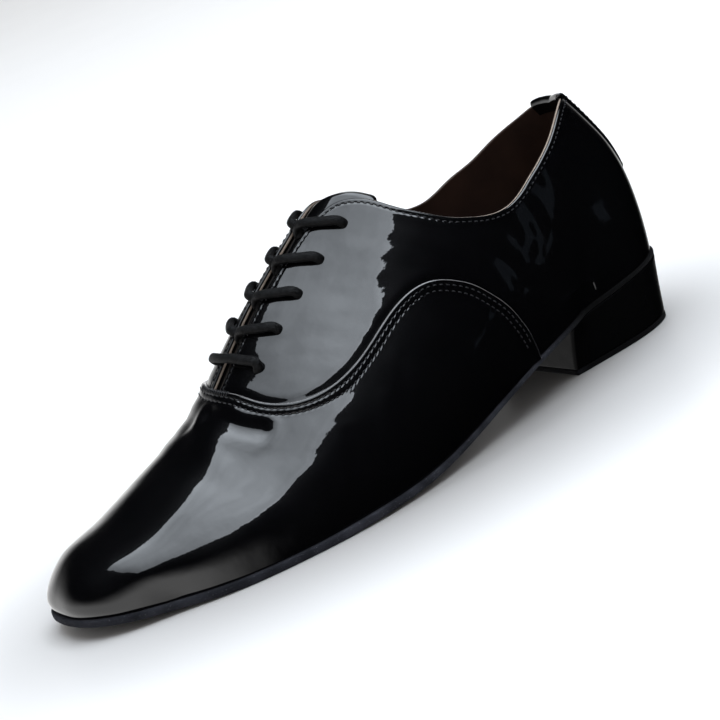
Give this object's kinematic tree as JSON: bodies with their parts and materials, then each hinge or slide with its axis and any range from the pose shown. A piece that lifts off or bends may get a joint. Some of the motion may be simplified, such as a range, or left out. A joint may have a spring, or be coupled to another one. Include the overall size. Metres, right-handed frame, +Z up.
{
  "type": "ballroom dance shoe",
  "caption": "Men's closed-lacing ballroom dance shoe, left foot: glossy patent upper cut low at the ankle, thin flexible suede sole, low block heel, flat lace bars across the throat.",
  "frame": {"origin": "centre of the bounding box in plan, at the ground under the sole", "axes": "+X from heel to toe, +Y to the outer side of the foot, +Z up"},
  "size_m": [0.2856, 0.1006, 0.1034],
  "materials": {
    "patent_leather": "black patent, mirror gloss",
    "lining_leather": "brown, matt",
    "suede": "dark grey napped suede",
    "heel_covering": "black satin",
    "lace": "black waxed braid"
  },
  "bodies": {
    "root": {"upper": "patent_leather", "backstay": "patent_leather", "tongue": "patent_leather", "insole": "lining_leather", "outsole": "suede", "heel_block": "heel_covering", "heel_lift": "suede", "lace_bar_1": "lace", "lace_bar_2": "lace", "lace_bar_3": "lace", "lace_bar_4": "lace", "lace_bar_5": "lace"}
  },
  "joints": []
}
